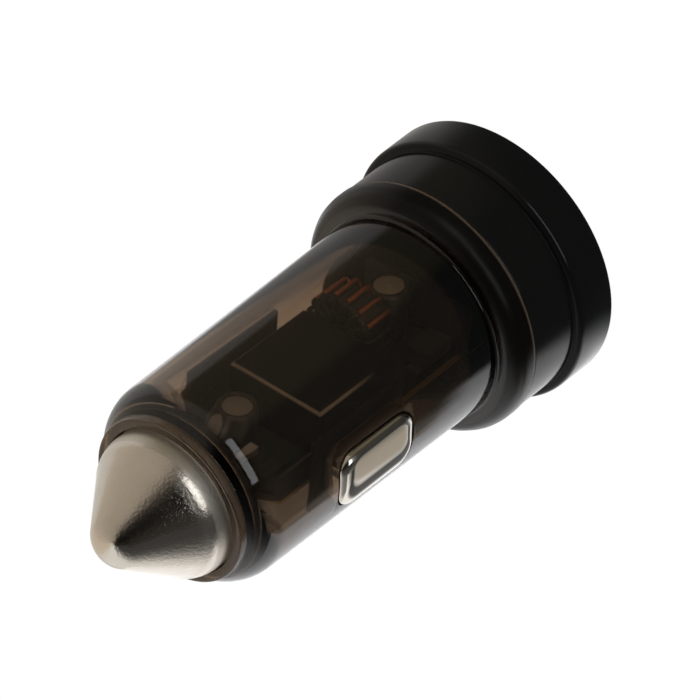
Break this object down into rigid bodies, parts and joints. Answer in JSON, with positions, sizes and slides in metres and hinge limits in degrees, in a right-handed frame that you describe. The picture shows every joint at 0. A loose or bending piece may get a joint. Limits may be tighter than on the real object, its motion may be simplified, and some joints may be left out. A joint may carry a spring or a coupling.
{
  "type": "car USB charger plug",
  "caption": "Car socket USB charger with a sprung nickel tip, side contacts, a smoked clear barrel that shows the circuit board, and a black rear cap.",
  "frame": {"origin": "centre of the rear rim, on the surface that the plug stands on", "axes": "+Z along the plug from the rear rim to the tip, side contacts on -X and +X, tall components of the board towards -Y"},
  "size_m": [0.027, 0.027, 0.0555],
  "materials": {
    "smoked_clear": "smoked brown, clear, polished",
    "cap_black": "glossy black moulding",
    "tip_nickel": "satin nickel plate",
    "contact_nickel": "bright nickel plate",
    "spring_steel": "drawn and rolled",
    "board_laminate": "solder mask",
    "port_steel": "rolled sheet, plated",
    "port_plastic": "moulded",
    "gold_plate": "bright plate",
    "can_aluminium": "drawn",
    "can_sleeve": "shrunk film",
    "copper_wire": "enamelled",
    "ferrite": "sintered",
    "moulded_epoxy": "moulded",
    "tinned_copper": "tinned",
    "chip_ceramic": "fired",
    "lamp_lens": "clear resin over a phosphor"
  },
  "bodies": {
    "shell": {"housing": "smoked_clear", "rear_cap": "cap_black", "circuit_board": "board_laminate", "usb_a_shell": "port_steel", "usb_a_tongue": "port_plastic", "usb_a_contacts": "gold_plate", "usb_c_shell": "port_steel", "usb_c_tongue": "port_plastic", "usb_c_contacts": "gold_plate", "rear_capacitor_can": "can_aluminium", "rear_capacitor_sleeve": "can_sleeve", "front_capacitor_can": "can_aluminium", "front_capacitor_sleeve": "can_sleeve", "capacitor_leads": "tinned_copper", "toroid_core": "ferrite", "toroid_winding": "copper_wire", "power_choke": "ferrite", "choke_clips": "tinned_copper", "diode_body": "moulded_epoxy", "diode_tabs": "tinned_copper", "controller_ic": "moulded_epoxy", "ic_leads": "tinned_copper", "chip_parts": "chip_ceramic", "indicator_led": "lamp_lens", "spring_terminal": "tinned_copper", "tip_spring": "spring_steel", "left_leaf_spring": "spring_steel", "right_leaf_spring": "spring_steel"},
    "tip": {"centre_contact": "tip_nickel"},
    "left_shoe": {"left_contact": "contact_nickel"},
    "right_shoe": {"right_contact": "contact_nickel"}
  },
  "joints": [
    {"name": "tip_press", "type": "slide", "parent": "shell", "child": "tip", "axis": [0, 0, 1], "range_m": [-0.0025, 0], "stiffness_N_per_m": 500, "springref_m": 0.002, "deforming": ["tip_spring"]},
    {"name": "left_contact_press", "type": "slide", "parent": "shell", "child": "left_shoe", "axis": [-1, 0, 0], "range_m": [-0.00085, 0], "stiffness_N_per_m": 400, "springref_m": 0.001, "deforming": ["left_leaf_spring"]},
    {"name": "right_contact_press", "type": "slide", "parent": "shell", "child": "right_shoe", "axis": [1, 0, 0], "range_m": [-0.00085, 0], "stiffness_N_per_m": 400, "springref_m": 0.001, "deforming": ["right_leaf_spring"]}
  ]
}
